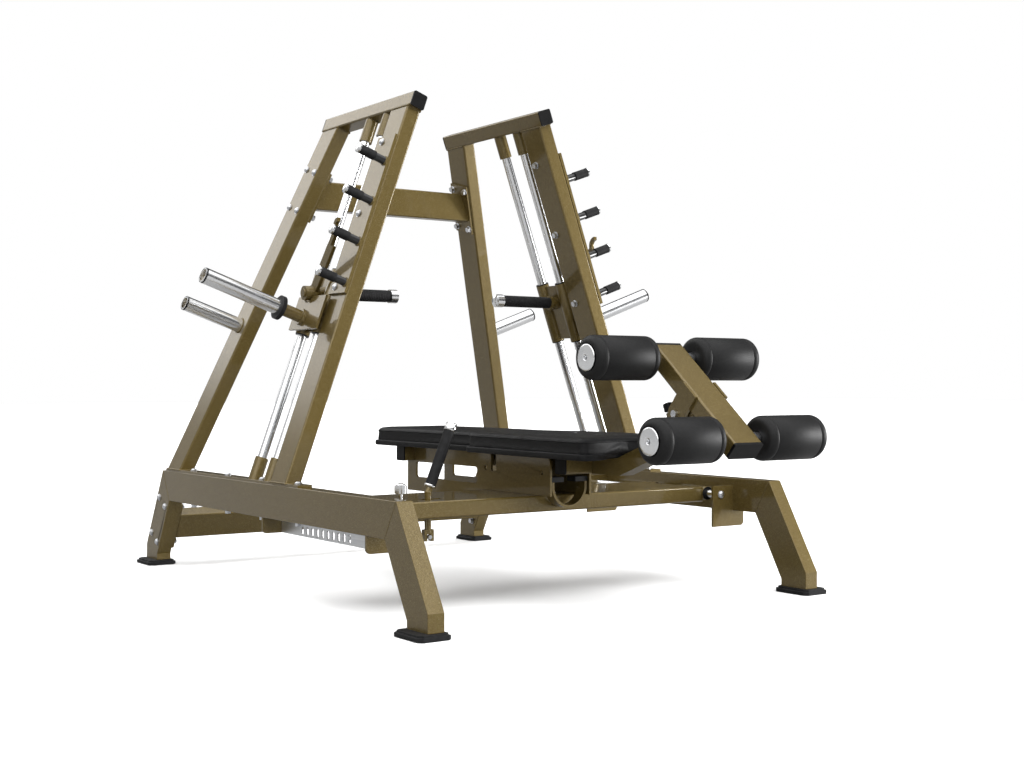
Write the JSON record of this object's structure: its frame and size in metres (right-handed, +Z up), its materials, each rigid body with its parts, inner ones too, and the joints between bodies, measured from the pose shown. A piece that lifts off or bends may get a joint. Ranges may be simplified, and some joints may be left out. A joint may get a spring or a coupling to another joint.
{
  "type": "plate loaded bench press machine",
  "caption": "Plate-loaded press machine: leaning frames guide independent weight carriages over a sliding flat bench with foam leg rollers.",
  "frame": {"origin": "on the floor, at the middle of the machine's overall box", "axes": "+X from the left upright frame to the right one, +Y from the leg rollers towards the back, +Z up"},
  "size_m": [1.7722, 2.4, 1.5762],
  "materials": {
    "frame_paint": "satin",
    "chrome": "polished",
    "bolt_steel": "satin",
    "zinc_plate": "satin",
    "black_rubber": "matte",
    "black_plastic": "satin",
    "pad_vinyl": "satin",
    "roller_foam": "matte"
  },
  "bodies": {
    "frame": {"base_rails": "frame_paint", "front_legs": "frame_paint", "rear_legs": "frame_paint", "rubber_feet": "black_rubber", "base_flanges": "frame_paint", "left_front_post": "frame_paint", "right_front_post": "frame_paint", "left_rear_post": "frame_paint", "right_rear_post": "frame_paint", "top_tubes": "frame_paint", "top_tube_caps": "black_plastic", "upper_crossbar": "frame_paint", "lower_crossbar": "frame_paint", "guide_rods": "chrome", "rod_sockets": "frame_paint", "peg_plates": "frame_paint", "peg_sleeves": "black_rubber", "peg_caps": "chrome", "storage_horns": "chrome", "frame_bolts": "bolt_steel", "slide_brackets": "frame_paint", "slide_rods": "chrome", "slotted_plate": "zinc_plate"},
    "left_carriage": {"left_carriage": "frame_paint", "left_carriage_bushings": "black_plastic", "left_loading_sleeve": "chrome", "left_sleeve_collar": "black_rubber"},
    "right_carriage": {"right_carriage": "frame_paint", "right_carriage_bushings": "black_plastic", "right_loading_sleeve": "chrome", "right_sleeve_collar": "black_rubber"},
    "left_handle": {"left_hook_handle": "frame_paint", "left_handle_grip": "black_rubber", "left_handle_cap": "chrome"},
    "right_handle": {"right_hook_handle": "frame_paint", "right_handle_grip": "black_rubber", "right_handle_cap": "chrome"},
    "bench": {"bench_carriage": "frame_paint", "bench_bushings": "black_plastic", "bench_side_plates": "frame_paint", "bench_frame": "frame_paint", "bench_end_caps": "black_plastic", "bench_board": "black_plastic", "bench_pad": "pad_vinyl", "bench_cradle": "frame_paint", "cradle_bumpers": "black_rubber"},
    "clamp_knob": {"clamp_knob": "chrome"},
    "lock_lever": {"lock_lever": "frame_paint", "lock_lever_grip": "black_rubber"},
    "latch_bolt": {"latch_bolt": "bolt_steel"},
    "leg_post": {"leg_post": "frame_paint"},
    "pop_pin": {"pop_pin": "black_plastic"},
    "roller_arm": {"roller_arm": "frame_paint", "roller_arm_caps": "black_plastic", "roller_axles": "bolt_steel", "roller_end_discs": "chrome"},
    "upper_left_roller": {"upper_left_roller": "roller_foam"},
    "upper_right_roller": {"upper_right_roller": "roller_foam"},
    "lower_left_roller": {"lower_left_roller": "roller_foam"},
    "lower_right_roller": {"lower_right_roller": "roller_foam"}
  },
  "joints": [
    {"name": "left_carriage_slide", "type": "slide", "parent": "frame", "child": "left_carriage", "axis": [0.3387, 0, 0.9409], "range_m": [-0.274, 0.274]},
    {"name": "right_carriage_slide", "type": "slide", "parent": "frame", "child": "right_carriage", "axis": [-0.3387, 0, 0.9409], "range_m": [-0.274, 0.274]},
    {"name": "left_handle_turn", "type": "hinge", "parent": "left_carriage", "child": "left_handle", "pos_m": [-0.47, 0.254, 0.938], "axis": [1, 0, 0], "range_deg": [-15, 6.5]},
    {"name": "right_handle_turn", "type": "hinge", "parent": "right_carriage", "child": "right_handle", "pos_m": [0.47, 0.254, 0.938], "axis": [1, 0, 0], "range_deg": [-15, 6.5]},
    {"name": "bench_slide", "type": "slide", "parent": "frame", "child": "bench", "axis": [0, 1, 0], "range_m": [-0.033, 0.264]},
    {"name": "clamp_knob_turn", "type": "hinge", "parent": "bench", "child": "clamp_knob", "pos_m": [-0.548, -0.367, 0.34], "axis": [0, 0, 1], "continuous": true},
    {"name": "lock_lever_swing", "type": "hinge", "parent": "bench", "child": "lock_lever", "pos_m": [-0.422, -0.308, 0.285], "axis": [0, 1, 0], "range_deg": [0, 8.6]},
    {"name": "latch_bolt_slide", "type": "slide", "parent": "bench", "child": "latch_bolt", "axis": [-1, 0, 0], "range_m": [0, 0.0121]},
    {"name": "leg_post_slide", "type": "slide", "parent": "bench", "child": "leg_post", "axis": [0, -0.9397, 0.342], "range_m": [0, 0.05]},
    {"name": "pop_pin_slide", "type": "slide", "parent": "bench", "child": "pop_pin", "axis": [0, -0.342, -0.9397], "range_m": [-0.006, 0.0055]},
    {"name": "roller_arm_swing", "type": "hinge", "parent": "leg_post", "child": "roller_arm", "pos_m": [0, -0.973, 0.56911], "axis": [1, 0, 0], "range_deg": [-30, 0]},
    {"name": "upper_left_roller_spin", "type": "hinge", "parent": "roller_arm", "child": "upper_left_roller", "pos_m": [-0.1845, -0.88721, 0.71812], "axis": [1, 0, 0], "continuous": true},
    {"name": "upper_right_roller_spin", "type": "hinge", "parent": "roller_arm", "child": "upper_right_roller", "pos_m": [0.1845, -0.88721, 0.71812], "axis": [1, 0, 0], "continuous": true},
    {"name": "lower_left_roller_spin", "type": "hinge", "parent": "roller_arm", "child": "lower_left_roller", "pos_m": [-0.1845, -1.14, 0.506], "axis": [1, 0, 0], "continuous": true},
    {"name": "lower_right_roller_spin", "type": "hinge", "parent": "roller_arm", "child": "lower_right_roller", "pos_m": [0.1845, -1.14, 0.506], "axis": [1, 0, 0], "continuous": true}
  ],
  "couplings": [
    {"joint": "latch_bolt_slide", "follows": "lock_lever_swing", "m_per_rad": 0.08}
  ]
}
